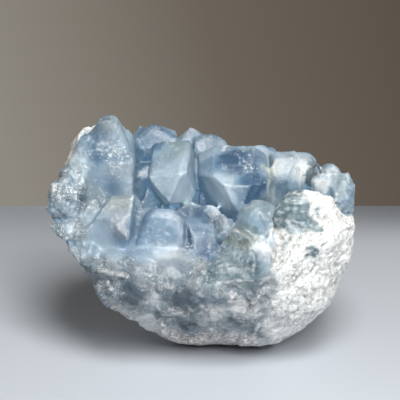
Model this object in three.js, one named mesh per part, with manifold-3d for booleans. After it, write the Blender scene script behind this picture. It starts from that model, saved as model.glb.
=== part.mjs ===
// A celestite geode: a chunk of a hollow nodule's wall, about 11 cm across.
// The matrix is a bowl of massive, chalk-skinned celestite, broken off short at the front,
// with a chalky lobe at its right front. Its hollow is lined by a crust of blocky crystals
// that point inwards and up. Millimetres, +Z up, X along the length, and the front faces -Y.
import * as THREE from "three";
import { ConvexGeometry } from "three/addons/geometries/ConvexGeometry.js";
import { ImprovedNoise } from "three/addons/math/ImprovedNoise.js";
import { mergeVertices } from "three/addons/utils/BufferGeometryUtils.js";
import Module from "manifold-3d";

const wasm = await Module();
wasm.setup();
const { cos, sin, abs, exp, hypot, atan2, sqrt, PI } = Math;
const vec = (x, y, z) => new THREE.Vector3(x, y, z);

// ---- Driving dimensions ----
const SEAM = 0.3; // clearance between the crust and the matrix

// The nodule's outer skin, reaching out from the middle of its widest level.
const SKIN = {
  level: 48,
  reach: { left: 56, right: 55, front: 37, back: 38, up: 62, down: 51 },
  squareness: 2.35, // 2 is an ellipsoid, and more is squarer
  detail: 9,
};
const LUMPS = { size: 21, height: 2.2 };
const PITS = { size: 7.5, height: 0.9 };

// Worn and broken faces of the skin: what lies past each plane is pressed back towards it.
const BREAKS = [
  { facing: [-0.777, 0, -0.629], at: 7.5, press: 0.9 }, // under the left wall
  { facing: [-0.44, -0.1, -0.9], at: 2, press: 0.85 }, // the long slope of the underside
  { facing: [-0.02, -0.45, -0.89], at: 1.6, press: 0.92 }, // the underside's front
  { facing: [-0.88, 0, 0.47], at: 72, press: 0.9 }, // the left wall's outside
  { facing: [-0.3, 0.35, 0.88], at: 85, press: 0.97 }, // the left wall's top
  { facing: [0.3, 0.1, 0.95], at: 71, press: 0.9 }, // the right end's top
  { facing: [-0.1, -0.86, -0.5], at: 10.5, press: 0.7 }, // the broken front
];

// The hollow: an ellipse seen from above, and the heights that its wall reaches there.
const HOLLOW = {
  middle: [-1, 0],
  half: [50, 33],
  floor: 31,
  steepness: 2.7, // 2 is a round dish, and more has a flatter floor
  fall: 0.6, // how fast the wall falls outside the ellipse
  cell: 5, // spacing of the surface's grid
  walls: [50, 54, 60, 62, 64, 68, 82, 104, 94, 52, 40, 37, 35, 37, 48, 48], // anticlockwise from +X
  hill: { at: [33.5, -13.5], half: [16, 12.5], height: 18.5 }, // the chalky lobe
};

// The layer of fused crystal bases, full near the hollow's middle and gone before its rim.
const BED = { thickness: 3.6, fullTo: 0.5, goneFrom: 0.84 };

// ---- Solids from three.js geometry ----
function solidOf(geometry) {
  const bare = new THREE.BufferGeometry();
  bare.setAttribute("position", geometry.getAttribute("position"));
  bare.setIndex(geometry.index);
  const merged = mergeVertices(bare, 1e-4);
  const numProp = 3;
  const vertProperties = new Float32Array(merged.attributes.position.array);
  const triVerts = new Uint32Array(merged.index.array);
  return new wasm.Manifold(new wasm.Mesh({ numProp, vertProperties, triVerts }));
}

function geometryOf(solid) {
  const { vertProperties, triVerts } = solid.getMesh();
  const geometry = new THREE.BufferGeometry();
  geometry.setAttribute("position", new THREE.BufferAttribute(vertProperties, 3));
  geometry.setIndex(new THREE.BufferAttribute(triVerts, 1));
  return geometry.toNonIndexed();
}

// Moves each vertex of a geometry by a function of its place.
function reshape(geometry, move) {
  const position = geometry.getAttribute("position");
  const p = vec();
  for (let i = 0; i < position.count; i++) {
    move(p.fromBufferAttribute(position, i));
    position.setXYZ(i, p.x, p.y, p.z);
  }
  return geometry;
}

// Repeatable random numbers from 0 to 1 (mulberry32).
function seeded(seed) {
  let state = seed;
  return () => {
    state = (state + 0x6d2b79f5) | 0;
    let t = Math.imul(state ^ (state >>> 15), 1 | state);
    t = (t + Math.imul(t ^ (t >>> 7), 61 | t)) ^ t;
    return ((t ^ (t >>> 14)) >>> 0) / 2 ** 32;
  };
}

const field = new ImprovedNoise();
function bump(p, { size, height }) {
  const place = p.clone().divideScalar(size).add(vec(7.3, 2.1, 4.7));
  return height * field.noise(place.x, place.y, place.z);
}

// ---- The outer skin ----
// How far from the middle of the widest level a point is, as a share of the skin's reach.
function reachShare(x, y, z) {
  const { reach, squareness: n } = SKIN;
  const across = abs(x) / (x < 0 ? reach.left : reach.right);
  const along = abs(y) / (y < 0 ? reach.front : reach.back);
  const up = abs(z) / (z < 0 ? reach.down : reach.up);
  return (across ** n + along ** n + up ** n) ** (1 / n);
}

const pastBreak = (p, { facing, at }) => p.dot(vec(...facing).normalize()) - at;

function skinSolid() {
  const ball = new THREE.IcosahedronGeometry(1, SKIN.detail);
  const skin = reshape(ball, (p) => {
    const out = p.clone();
    p.divideScalar(reachShare(p.x, p.y, p.z));
    p.z += SKIN.level;
    for (const face of BREAKS) {
      const past = Math.max(0, pastBreak(p, face));
      p.addScaledVector(vec(...face.facing).normalize(), -past * face.press);
    }
    p.addScaledVector(out, bump(p, LUMPS) + bump(p, PITS));
  });
  return solidOf(skin).trimByPlane([0, 0, 1], 0);
}

// Whether a point lies well under the outer skin.
function isUnderSkin(p) {
  const [share, cover] = [0.885, 4];
  const unbroken = BREAKS.every((face) => pastBreak(p, face) < -cover);
  return unbroken && reachShare(p.x, p.y, p.z - SKIN.level) < share;
}

// ---- The hollow ----
// How far out a point is, from 0 in the middle to 1 on the ellipse, and the wall's height that way.
function inHollow(x, y) {
  const { middle, half, walls } = HOLLOW;
  const u = (x - middle[0]) / half[0];
  const v = (y - middle[1]) / half[1];
  const place = ((atan2(v, u) / (2 * PI) + 1) % 1) * walls.length;
  const i = Math.floor(place);
  const blend = (1 - cos((place - i) * PI)) / 2;
  const wall = walls[i] * (1 - blend) + walls[(i + 1) % walls.length] * blend;
  return { out: hypot(u, v), wall };
}

// How much of the hill's height a point has, from 1 on its top to 0 around it.
function onHill(x, y) {
  const { at, half } = HOLLOW.hill;
  const away = ((x - at[0]) / half[0]) ** 2 + ((y - at[1]) / half[1]) ** 2;
  return exp(-(away ** 2));
}

function hollowHeight(x, y) {
  const { floor, steepness, fall, hill } = HOLLOW;
  const { out, wall } = inHollow(x, y);
  const rise = out < 1 ? out ** steepness : 1 - fall * (out - 1);
  return floor + (wall - floor) * rise + hill.height * onHill(x, y) + bump(vec(x, y, 0), PITS);
}

function hollowNormal(x, y) {
  const step = 0.5;
  const dx = hollowHeight(x + step, y) - hollowHeight(x - step, y);
  const dy = hollowHeight(x, y + step) - hollowHeight(x, y - step);
  return vec(-dx, -dy, 2 * step).normalize();
}

// All the space above the hollow's surface, raised along its normal by a function of the place.
function aboveHollow(raise) {
  const [length, width, top] = [150, 120, 130];
  const cells = [Math.round(length / HOLLOW.cell), Math.round(width / HOLLOW.cell)];
  const block = new THREE.BoxGeometry(length, width, 2, ...cells, 1);
  return solidOf(
    reshape(block, (p) => {
      if (p.z > 0) {
        p.z = top;
        return;
      }
      const normal = hollowNormal(p.x, p.y);
      p.z = hollowHeight(p.x, p.y);
      p.addScaledVector(normal, raise(p.x, p.y));
    }),
  );
}

function bedThickness(x, y) {
  const { out } = inHollow(x, y);
  const fade = Math.max(0, (out - BED.fullTo) / (BED.goneFrom - BED.fullTo));
  return BED.thickness * (1 - fade ** 2 - 2 * onHill(x, y));
}

// ---- Crystals ----
// A block cut by its crystal faces. `tip` is the middle of its end, `along` the way it grows and
// `face` the way its broad side looks. `size` is its width, depth and length. `ends` are the slopes
// of its end faces across the width and across the depth, in degrees, and `ridge` is the share of
// the width and of the depth between them, moved sideways by `lean`. `corner` is cut off each edge.
function crystal({ tip, along, face, size, ends = [42, 50], ridge = [0.25, 0.1], lean = 0, corner = 0.25 }) {
  const edgeFace = { across: 0.62, through: 0.78, taper: 0.03 };
  const [width, depth, length] = size;
  let block = solidOf(new THREE.BoxGeometry(width, depth, length).translate(0, 0, -length / 2));
  const cut = (normal, through) => {
    normal.normalize();
    block = block.trimByPlane(normal.clone().negate().toArray(), -normal.dot(through));
  };
  const [slopeX, slopeY] = ends.map(THREE.MathUtils.degToRad);
  for (const side of [-1, 1]) {
    cut(vec(side * sin(slopeX), 0, cos(slopeX)), vec((lean + (side * ridge[0]) / 2) * width, 0, 0));
    cut(vec(0, side * sin(slopeY), cos(slopeY)), vec(0, (side * ridge[1] * depth) / 2, 0));
    for (const front of [-1, 1]) {
      const edge = vec(side * width * (0.5 - corner / 2), (front * depth) / 2, 0);
      cut(vec(side * edgeFace.across, front * edgeFace.through, edgeFace.taper), edge);
    }
  }
  const axis = vec(...along).normalize();
  const across = vec(...face).cross(axis).normalize();
  const placed = new THREE.Matrix4().makeBasis(across, axis.clone().cross(across), axis);
  return block.transform(placed.setPosition(...tip).elements);
}

// A worn or etched crystal, down to a few blunt faces: the hull of points about an ellipsoid.
function knob({ at, size, seed }) {
  const [points, goldenTurn] = [24, PI * (3 - sqrt(5))];
  const random = seeded(seed);
  const corners = [];
  for (let i = 0; i < points; i++) {
    const up = 1 - (2 * (i + 0.5)) / points;
    const ring = sqrt(1 - up * up);
    const turn = i * goldenTurn + random() / 2;
    const swell = 0.44 + 0.12 * random();
    const corner = vec(cos(turn) * ring, sin(turn) * ring, up).multiplyScalar(swell);
    corners.push(corner.multiply(vec(...size)));
  }
  return solidOf(new ConvexGeometry(corners).translate(...at));
}

// The leading crystals of the left wall, the back wall and the floor, each from left to right.
const LEFT_WALL = [
  {
    tip: [-31.8, 4, 84.3], along: [-0.02, 0.14, 1], face: [0.12, -1, 0.2],
    size: [18.8, 15, 34], ends: [53, 60], ridge: [0.36, 0.2],
  },
  {
    tip: [-31, -16.5, 60.5], along: [-0.04, -0.08, 1], face: [-0.1, -1, -0.05],
    size: [17, 14, 28], ends: [50, 48], ridge: [0.5, 0.3], lean: -0.3,
  },
  { tip: [-42, -5, 65], along: [0, -0.2, 1], face: [0.3, -1, 0.1], size: [8, 8, 18] },
  { tip: [-40.5, -11, 56], along: [-0.15, -0.35, 1], face: [-0.3, -1, 0], size: [7, 6, 16], ends: [40, 40] },
  { tip: [-40.5, -19, 47], along: [-0.2, -0.4, 0.9], face: [-0.6, -1, -0.3], size: [7, 7, 14] },
];
const BACK_WALL = [
  {
    tip: [-16.5, 20, 76.5], along: [0, -0.1, 1], face: [0.1, -1, 0],
    size: [16, 14, 26], ends: [28, 45], ridge: [0.1, 0.1],
  },
  { tip: [-16.5, 8, 66], along: [0.05, -0.25, 1], face: [0.1, -1, 0.1], size: [11, 10, 24], ends: [30, 40] },
  {
    tip: [-9.8, -7, 54.5], along: [-0.04, -0.85, -0.5], face: [-0.22, -0.5, 0.85],
    size: [13.8, 14.5, 25], ends: [54, 50], ridge: [0, 0.1], corner: 0.35,
  },
  { tip: [-3.7, 27, 74.3], along: [-0.1, 0, 1], face: [0.2, -1, 0], size: [10, 10, 22], ridge: [0, 0] },
  {
    tip: [4.5, 24, 71.6], along: [0.1, -0.05, 1], face: [0.15, -1, 0.2],
    size: [13, 11, 20], ends: [28, 50], ridge: [0.45, 0.2],
  },
  {
    tip: [12, -6, 51], along: [0.02, -0.88, -0.47], face: [0.05, -0.47, 0.88],
    size: [24, 17, 26], ends: [48, 38], ridge: [0, 0.2], lean: 0.06, corner: 0.5,
  },
  { tip: [22, 21, 68.6], along: [0.05, -0.05, 1], face: [0, -1, 0.1], size: [12.5, 12, 24], ends: [32, 50] },
  {
    tip: [33.5, 13, 67.2], along: [0.03, -0.12, 1], face: [0.08, -1, 0.2],
    size: [16, 15, 26], ends: [18, 58], ridge: [0.75, 0.4],
  },
  { tip: [43, 9, 65], along: [0.42, -0.1, 0.9], face: [-0.3, -1, 0.2], size: [8, 9, 20], ends: [45, 50] },
  { tip: [45, -1, 58], along: [0.1, -0.45, 0.9], face: [-0.2, -1, 0], size: [9, 8, 18], ends: [38, 40] },
];
const FLOOR = [
  {
    tip: [-12.5, -20.5, 49], along: [-0.03, -0.9, 0.3], face: [0.1, 0.3, 1],
    size: [13.5, 14, 18], ends: [16, 22], ridge: [0.75, 0.6], corner: 0.5,
  },
  { tip: [-19, -10, 53], along: [-0.1, -0.4, 1], face: [0.2, -1, 0.3], size: [10, 9, 20], ends: [38, 45] },
  { tip: [-2.5, -2, 54.5], along: [0.1, -0.35, 1], face: [-0.3, -1, 0.1], size: [10, 9, 22], ridge: [0, 0] },
  { tip: [4, -5, 54], along: [0.15, -0.3, 1], face: [0.3, -1, 0], size: [8, 8, 20], ends: [36, 45] },
  {
    tip: [1.5, -16, 46.5], along: [0.5, -0.55, 0.6], face: [-0.5, -0.4, 0.8],
    size: [14, 6, 20], ends: [30, 30], ridge: [0.4, 0.4],
  },
  { tip: [-3, -20, 43], along: [0.2, -0.8, 0.5], face: [-0.3, -0.2, 1], size: [10, 8, 16], ends: [36, 40] },
  { tip: [13, -15, 49], along: [0.1, -0.4, 1], face: [-0.4, -1, 0.2], size: [11, 9, 20], ends: [40, 50] },
  { tip: [-4, -25.5, 41.5], along: [-0.1, -0.6, 0.8], face: [-0.3, -1, -0.3], size: [10, 8, 16] },
];

// Long, striated crystals that slant down over the front rim, side by side.
const BLADES = [
  { tip: [3.5, -29, 38.5], along: [-0.7, -0.45, -0.45], size: [7, 6, 15] },
  { tip: [7.5, -30, 37.5], along: [-0.6, -0.6, -0.45], size: [8, 7, 22] },
  { tip: [14.5, -28, 39], along: [-0.6, -0.5, -0.5], size: [6, 6, 12] },
].map((blade) => ({ ...blade, face: [-0.4, -0.5, 0.8], ends: [35, 40] }));

// Worn crystals: the left lobe, the dome beside the chalky lobe, and the right end.
const WORN = [
  { at: [-46, -8, 60.5], size: [9, 10, 11], seed: 21 },
  { at: [-49.5, -11.5, 54], size: [9, 10, 12], seed: 22 },
  { at: [-44.5, -12, 53], size: [10, 10, 11], seed: 23 },
  { at: [-46.5, -17, 47], size: [9, 9, 10], seed: 24 },
  { at: [-42.5, -17, 46], size: [9, 10, 11], seed: 25 },
  { at: [-37.5, -21, 41], size: [9, 9, 9], seed: 29 },
  { at: [19, -11.5, 51], size: [13, 13, 14], seed: 26 },
  { at: [46.5, 6, 61.5], size: [9, 10, 11], seed: 27 },
  { at: [50, 2, 54.5], size: [12.5, 16, 19], seed: 28 },
];

// Small crystals stand on the hollow's surface between the leading ones.
const FILL = {
  seed: 2024,
  tries: 1500,
  reach: 0.92, // of the ellipse
  front: -19, // none stand nearer the front than this
  apart: 7.2,
  width: [5.5, 9],
  length: [8, 14],
  shown: 0.75, // of the length
  upright: 0.4,
  spread: 0.35,
};

function fillCrystals(leading) {
  const random = seeded(FILL.seed);
  const between = ([low, high]) => low + (high - low) * random();
  const around = (reach) => (random() - 0.5) * 2 * reach;
  const feet = [];
  const made = [];
  for (let i = 0; i < FILL.tries; i++) {
    const turn = random() * 2 * PI;
    const out = FILL.reach * sqrt(random());
    const x = HOLLOW.middle[0] + cos(turn) * out * HOLLOW.half[0];
    const y = HOLLOW.middle[1] + sin(turn) * out * HOLLOW.half[1];
    const foot = vec(x, y, hollowHeight(x, y));
    const bare = y < FILL.front || onHill(x, y) > 0.1 || !isUnderSkin(foot);
    const crowded = feet.some((other) => foot.distanceTo(other) < FILL.apart);
    if (bare || crowded || leading.some((other) => isInside(foot, other))) continue;
    feet.push(foot);
    const width = between(FILL.width);
    const length = between(FILL.length);
    const shake = vec(around(FILL.spread), around(FILL.spread), around(FILL.spread));
    const along = hollowNormal(x, y).add(vec(0, 0, FILL.upright)).add(shake).normalize();
    made.push({
      tip: foot.clone().addScaledVector(along, length * FILL.shown).toArray(),
      along: along.toArray(),
      face: [around(0.5), around(0.5), between([0, 0.4])],
      size: [width, width * between([0.65, 0.95]), length],
      ends: [between([34, 54]), between([38, 58])],
      ridge: [between([0, 0.5]), between([0, 0.25])],
      corner: 0.2,
    });
  }
  return made;
}

// Whether a point lies well inside a crystal's block.
function isInside(point, { tip, along, size }) {
  const axis = vec(...along).normalize();
  const fromTip = point.clone().sub(vec(...tip));
  const depth = -fromTip.dot(axis);
  const aside = fromTip.addScaledVector(axis, depth).length();
  return depth > 0 && depth < size[2] && aside < size[0] * 0.4;
}

// ---- Assembly ----
const skin = skinSolid();
const matrixSolid = skin.subtract(aboveHollow(() => 0));

// The crust is everything grown on the bed, fitted to the hollow.
// A small crystal that misses the bed falls away.
const bed = skin.subtract(aboveHollow(bedThickness));
const leading = [...LEFT_WALL, ...BACK_WALL, ...FLOOR, ...BLADES];
const crystals = [...leading, ...fillCrystals(leading)].map(crystal);
const grown = wasm.Manifold.union([bed, ...crystals, ...WORN.map(knob)]);
const fitted = grown.intersect(aboveHollow(() => SEAM));
const [crustSolid] = fitted.decompose().sort((a, b) => b.volume() - a.volume());

function piece(name, solid, look) {
  const mesh = new THREE.Mesh(geometryOf(solid), new THREE.MeshStandardMaterial(look));
  mesh.name = name;
  return mesh;
}

const geode = new THREE.Group();
geode.name = "celestite_geode";
geode.add(
  piece("matrix", matrixSolid, { color: 0xd9dad6, roughness: 0.9, metalness: 0 }),
  piece("crystal_crust", crustSolid, { color: 0x9db8cc, roughness: 0.2, metalness: 0 }),
);

// The middle of the geode's box stands over the origin, and its underside at zero.
const middle = new THREE.Box3().setFromObject(geode).getCenter(vec());
geode.position.set(-middle.x, -middle.y, 0);

export default geode;
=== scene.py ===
import math
import random

import bmesh
import bpy
from mathutils import Matrix, Quaternion, Vector, noise
from mathutils.bvhtree import BVHTree


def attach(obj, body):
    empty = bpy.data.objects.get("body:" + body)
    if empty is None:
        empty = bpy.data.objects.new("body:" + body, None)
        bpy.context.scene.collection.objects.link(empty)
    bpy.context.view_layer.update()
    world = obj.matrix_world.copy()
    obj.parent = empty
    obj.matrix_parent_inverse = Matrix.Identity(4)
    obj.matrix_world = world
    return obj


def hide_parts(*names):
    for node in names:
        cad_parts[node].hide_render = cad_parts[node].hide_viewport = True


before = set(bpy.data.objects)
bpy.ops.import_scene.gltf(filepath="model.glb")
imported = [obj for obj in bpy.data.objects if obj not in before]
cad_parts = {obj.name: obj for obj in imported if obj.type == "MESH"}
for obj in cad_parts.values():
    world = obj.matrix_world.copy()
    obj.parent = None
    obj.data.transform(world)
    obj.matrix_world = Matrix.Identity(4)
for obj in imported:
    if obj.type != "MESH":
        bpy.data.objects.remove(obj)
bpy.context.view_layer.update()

# ---- Table, light and camera ----
# A plain pale table with a straight back edge stands in front of a plain warm-grey wall.
# Two soft lights at the front right act as a tall window, and a weak one fills in from the left.
MM = 0.001
TABLE = {"left": -0.7, "right": 0.7, "front": -0.7, "back": 0.165}
TABLE_COLOUR = (0.53, 0.57, 0.62)
# The far strip of the table is darkened by painted shade: it keeps only a share of its colour, and less of it
# on the right.
FAR_PAINTED_SHADE = {"start": 0.10, "left": -0.05, "left_share": 0.72, "right": 0.12, "right_share": 0.33}


def finished(name):
    """A new material, with its node tree, its shader and its own way to add a linked node."""
    material = bpy.data.materials.new(name)
    material.use_nodes = True
    tree = material.node_tree
    shader = tree.nodes["Principled BSDF"]
    return material, tree, shader, adder(tree)


def adder(tree):
    """A function that adds a node to the tree, with its inputs set or linked."""

    def add(kind, links=None, **values):
        node = tree.nodes.new("ShaderNode" + kind)
        for key, value in values.items():
            setattr(node, key, value)
        for socket, source in (links or {}).items():
            if isinstance(source, bpy.types.NodeSocket):
                tree.links.new(source, node.inputs[socket])
            else:
                node.inputs[socket].default_value = source
        return node

    return add


def new_piece(name, bm, material):
    """An object at the origin from a finished bmesh."""
    mesh = bpy.data.meshes.new(name)
    bm.to_mesh(mesh)
    bm.free()
    mesh.materials.append(material)
    piece = bpy.data.objects.new(name, mesh)
    bpy.context.scene.collection.objects.link(piece)
    return piece


def table_shade(share):
    """The table's colour where only this share of it is left, which darkens it as painted shade."""
    return (*(share * part for part in TABLE_COLOUR), 1)


table_finish, tree, shader, add = finished("table_paint_and_painted_shade")
spot = add("SeparateXYZ", {0: add("TexCoord").outputs["Object"]})
strip_width = {"From Min": FAR_PAINTED_SHADE["left"], "From Max": FAR_PAINTED_SHADE["right"]}
rightward = add("MapRange", {"Value": spot.outputs["X"], **strip_width}).outputs["Result"]
strip_depth = {"From Min": FAR_PAINTED_SHADE["start"], "From Max": TABLE["back"]}
far_off = add("MapRange", {"Value": spot.outputs["Y"], **strip_depth}, interpolation_type="SMOOTHSTEP")
far_left = table_shade(FAR_PAINTED_SHADE["left_share"])
far_right = table_shade(FAR_PAINTED_SHADE["right_share"])
far_shade = add("Mix", {0: rightward, 6: far_left, 7: far_right}, data_type="RGBA").outputs[2]
near_shade = table_shade(1)
# The far strip's painted shade is mixed over the table's own colour.
shade = add("Mix", {0: far_off.outputs["Result"], 6: near_shade, 7: far_shade}, data_type="RGBA").outputs[2]
tree.links.new(shade, shader.inputs["Base Color"])
shader.inputs["Roughness"].default_value = 0.5

bm = bmesh.new()
bmesh.ops.create_grid(bm, x_segments=1, y_segments=1, size=0.5)
middle = Vector(((TABLE["left"] + TABLE["right"]) / 2, (TABLE["front"] + TABLE["back"]) / 2, 0))
extent = (TABLE["right"] - TABLE["left"], TABLE["back"] - TABLE["front"], 1)
bmesh.ops.scale(bm, vec=extent, verts=bm.verts)
bmesh.ops.translate(bm, vec=middle, verts=bm.verts)
table = new_piece("table", bm, table_finish)

# The wall's lit look is painted light: it glows by itself, a little lighter on the left. The room around it
# is dimmer.
WALL = {"at": 0.9, "half": 1.6, "slant": 15, "shaded": 0.25}
WALL_LIGHT_TONES = [(0.275, 0.255, 0.220), (0.148, 0.126, 0.104), (0.095, 0.074, 0.057)]
ROOM_COLOUR = (0.022, 0.022, 0.022, 1)
wall_finish, tree, shader, add = finished("wall_painted_light")
slant = (0, math.radians(WALL["slant"]), 0)
slanted = add("Mapping", {"Vector": add("TexCoord").outputs["Object"], "Rotation": slant})
across = add("SeparateXYZ", {0: slanted.outputs["Vector"]}).outputs["X"]
along_wall = add("MapRange", {"Value": across, "From Min": -WALL["shaded"], "From Max": WALL["shaded"]})
shade = add("ValToRGB", {"Fac": along_wall.outputs["Result"]})
shade.color_ramp.elements.new(0.5)
for element, tone in zip(shade.color_ramp.elements, WALL_LIGHT_TONES):
    element.color = (*tone, 1)
glow = add("Emission", {"Color": shade.outputs["Color"]})
tree.links.new(glow.outputs["Emission"], tree.nodes["Material Output"].inputs["Surface"])
bm = bmesh.new()
upright = Matrix.Translation((0, WALL["at"], 0)) @ Matrix.Rotation(math.radians(90), 4, "X")
bmesh.ops.create_grid(bm, x_segments=1, y_segments=1, size=WALL["half"], matrix=upright)
wall = new_piece("wall", bm, wall_finish)

scene = bpy.context.scene
world = bpy.data.worlds.new("room")
scene.world = world
world.use_nodes = True
world.node_tree.nodes["Background"].inputs["Color"].default_value = ROOM_COLOUR

# The lights aim at one point, all from the same distance.
LIT_POINT = Vector((0, 0, 0.04))
LIGHT_DISTANCE = 0.56
LIGHT_SIZE = 0.24
# Each light: its bearing from the front and its height in degrees, its power in watts and its colour.
LIGHTS = {
    "window_low": (24, 34, 1.9, (1.0, 0.99, 0.97)),
    "window_high": (14, 57, 3.2, (1.0, 0.99, 0.97)),
    "window_left": (-95, 34, 0.32, (0.92, 0.96, 1.0)),
}
for name, (bearing, height, power, colour) in LIGHTS.items():
    lamp = bpy.data.lights.new(name, "AREA")
    lamp.size = LIGHT_SIZE
    lamp.energy = power
    lamp.color = colour
    holder = bpy.data.objects.new(name, lamp)
    turned = math.radians(bearing)
    raised = math.radians(height)
    level = Vector((math.sin(turned) * math.cos(raised), -math.cos(turned) * math.cos(raised), 0))
    towards = level + Vector((0, 0, math.sin(raised)))
    holder.location = LIT_POINT + towards * LIGHT_DISTANCE
    holder.rotation_euler = towards.to_track_quat("Z", "Y").to_euler()
    scene.collection.objects.link(holder)

# The camera looks down by TILT, and sees the width SEEN at the point that it aims at.
AIM = Vector((-0.98, -1.51, 54)) * MM
DISTANCE = 450 * MM
TILT = math.radians(17)
SEEN = 142.4 * MM
SENSOR = 36
camera = bpy.data.objects.new("camera", bpy.data.cameras.new("camera"))
camera.location = AIM + DISTANCE * Vector((0, -math.cos(TILT), math.sin(TILT)))
camera.rotation_euler = (AIM - camera.location).to_track_quat("-Z", "Y").to_euler()
camera.data.sensor_width = SENSOR
camera.data.lens = SENSOR * DISTANCE / SEEN
camera.data.clip_start = 0.01
camera.data.clip_end = 10
scene.collection.objects.link(camera)
scene.camera = camera

scene.view_settings.view_transform = "Standard"
scene.cycles.use_denoising = True
scene.cycles.caustics_refractive = False
scene.cycles.caustics_reflective = False
scene.cycles.max_bounces = 16
scene.cycles.transmission_bounces = 14
scene.cycles.transparent_max_bounces = 16

# ---- Matrix ----
# The bowl of massive celestite that the crystals grow on. Its outer skin is dull and chalky, its
# right front is a lobe of white chalk with grooves and pits, and its underside at the front is a
# fresh, grey, glassy break.

# Without a seed the noise, and so the stone, would differ from run to run.
noise.seed_set(2)
# The rock's triangles are fine where it shows. They may be long where the crust is closer than
# HIDDEN_GAP millimetres.
SHOWN_CELL = 1.0 * MM
HIDDEN_CELL = 3.5 * MM
HIDDEN_GAP = 1.2


def solid_of(node, merged=1e-6):
    """A CAD node's solid as a bmesh, with its loose triangles joined."""
    bm = bmesh.new()
    bm.from_mesh(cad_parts[node].data)
    bmesh.ops.remove_doubles(bm, verts=bm.verts, dist=merged)
    bmesh.ops.dissolve_degenerate(bm, edges=bm.edges, dist=merged)
    return bm


def refine(bm, cell, wanted, rounds=9):
    """Splits the wanted edges, round after round, until none of them is longer than the cell."""
    bmesh.ops.triangulate(bm, faces=bm.faces)
    for _ in range(rounds):
        long_edges = [e for e in bm.edges if e.calc_length() > cell and wanted(e)]
        if not long_edges:
            break
        bmesh.ops.subdivide_edges(bm, edges=long_edges, cuts=1, use_single_edge=True)
        bmesh.ops.triangulate(bm, faces=[f for f in bm.faces if len(f.verts) > 3])


def smooth(bm, verts, rounds=1):
    """Rounds a stretch of the surface off, as wear does."""
    for _ in range(rounds):
        bmesh.ops.smooth_vert(bm, verts=verts, factor=0.5, use_axis_x=True, use_axis_y=True, use_axis_z=True)


def ease(low, high, value):
    """0 below low, 1 above high, and smooth between."""
    t = min(1, max(0, (value - low) / (high - low)))
    return t * t * (3 - 2 * t)


def wander(p):
    """A slow drift of a point in millimetres, so that no face or edge is quite straight."""
    return noise.noise_vector(p / 17) * 1.1 * ease(1, 12, p.z)


def bell(p, place, reach):
    """1 at the place, and less away from it."""
    return math.exp(-((p - Vector(place)).length / reach) ** 2)


def shifted(p, places):
    """How far a list of (place, reach, shift) moves a point, in millimetres."""
    return sum((Vector(shift) * bell(p, place, reach) for place, reach, shift in places), Vector())


def within(p, borders, wobble=0):
    """How much a point lies inside a list of borders.

    A border has its axis, where it starts, where it is full, and its share of the wobble.
    """
    parts = (ease(start, full, getattr(p, axis) + share * wobble) for axis, start, full, share in borders)
    return math.prod(parts)


def near_any(p, places, ragged):
    """How much a point belongs to a list of (place, reach) patches with ragged borders."""
    wobble = ragged * noise.noise(p / 2.2)
    return max(ease(1.15, 0.6, (p - Vector(at)).length / reach + wobble) for at, reach in places)


crust_solid = solid_of("crystal_crust")
crust_tree = BVHTree.FromBMesh(crust_solid)
matrix_solid = solid_of("matrix")
matrix_tree = BVHTree.FromBMesh(matrix_solid)


def crust_gap(point):
    """The distance to the crust, in millimetres."""
    return crust_tree.find_nearest(point)[3] / MM


def clear_of_crust(edge):
    """Whether an edge shows, or is too long even for the hidden part."""
    middle = (edge.verts[0].co + edge.verts[1].co) / 2
    return crust_gap(middle) > HIDDEN_GAP or edge.calc_length() > HIDDEN_CELL


matrix_bm = matrix_solid.copy()
refine(matrix_bm, SHOWN_CELL, clear_of_crust)
smooth(matrix_bm, matrix_bm.verts, 6)
matrix_bm.normal_update()

# Each vertex belongs to each zone by a share from 0 to 1, which the stone's colours read.
ZONES = ("chalk", "broken", "massive", "rind", "glassy", "covered", "hollow", "grains", "lowest")
zones = {name: matrix_bm.verts.layers.float.new(name) for name in ZONES}

# Where the zones lie, by their borders along the axes.
ROCK_BORDERS = {
    "front": [("y", -6, -15, 0)],
    "chalk": [("x", 17, 22, 1), ("y", 20, 0, 0)],
    "broken": [("x", 25, 20, 1), ("z", 37, 33.5, 0.9)],
    "massive": [("y", -13, -19, 0), ("z", 24, 30, 1), ("x", 26, 18, 1), ("z", 50, 45, 0)],
    "rind": [("x", -35, -40, 0), ("z", 46, 54, 0), ("y", 22, 8, 0)],
    "lowest": [("z", 13, 7, 0.7), ("y", 30, 20, 0)],
    "belly": [("z", 14, 27, 0), ("z", 36, 30, 0), ("x", 22, 14, 0)],
}
# Where the chalk has worn through to glassy mineral, and where white grains crowd the break: places
# and how far each reaches.
GLASSY = [((28, -23, 58), 8), ((32, -26, 55), 7), ((36, -30.5, 44.5), 2.4), ((25, -31, 47), 2.5)]
GRAINS = [
    ((-17, -35, 35), 3.5), ((-12, -30, 24), 4), ((-6.4, -29.7, 23.3), 4.5), ((1.1, -31, 25.3), 4),
    ((-15, -24.4, 16.7), 5), ((-8, -22, 10.5), 6), ((4.3, -24, 12.6), 5), ((14, -33, 29), 6),
    ((17, -32, 22), 6), ((-30, -26, 30), 3), ((-24, -27, 24), 3), ((-32.5, -30, 32.5), 3),
    ((-29.5, -28, 26), 3), ((-25, -25, 19.5), 3.5),
]
# Swells of the surface and of the zones' borders: a height and a length in millimetres for each.
WOBBLE = [(3, 6), (1.6, 2.1)]
CHALK_LUMPS = [(0.75, 7.5), (0.35, 2.6)]
MASSIVE_LUMPS = [(1.2, 5.5), (0.7, 2.6)]
# The chalk's grooves: how far apart they are and how long. Its pits: how far apart, and how wide as
# a share of that.
BROAD_GROOVES = (2.6, 15)
FINE_GROOVES = (1.5, 9)
PITS = {"apart": 2.9, "width": 0.42}
# Where the lobe stands off its solid: a place, a reach and a shift.
BULGES = [((31, -19, 58), 7, (-0.5, -0.5, 3.2)), ((40, -16, 63), 4, (0, 0, -2.4))]
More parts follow.
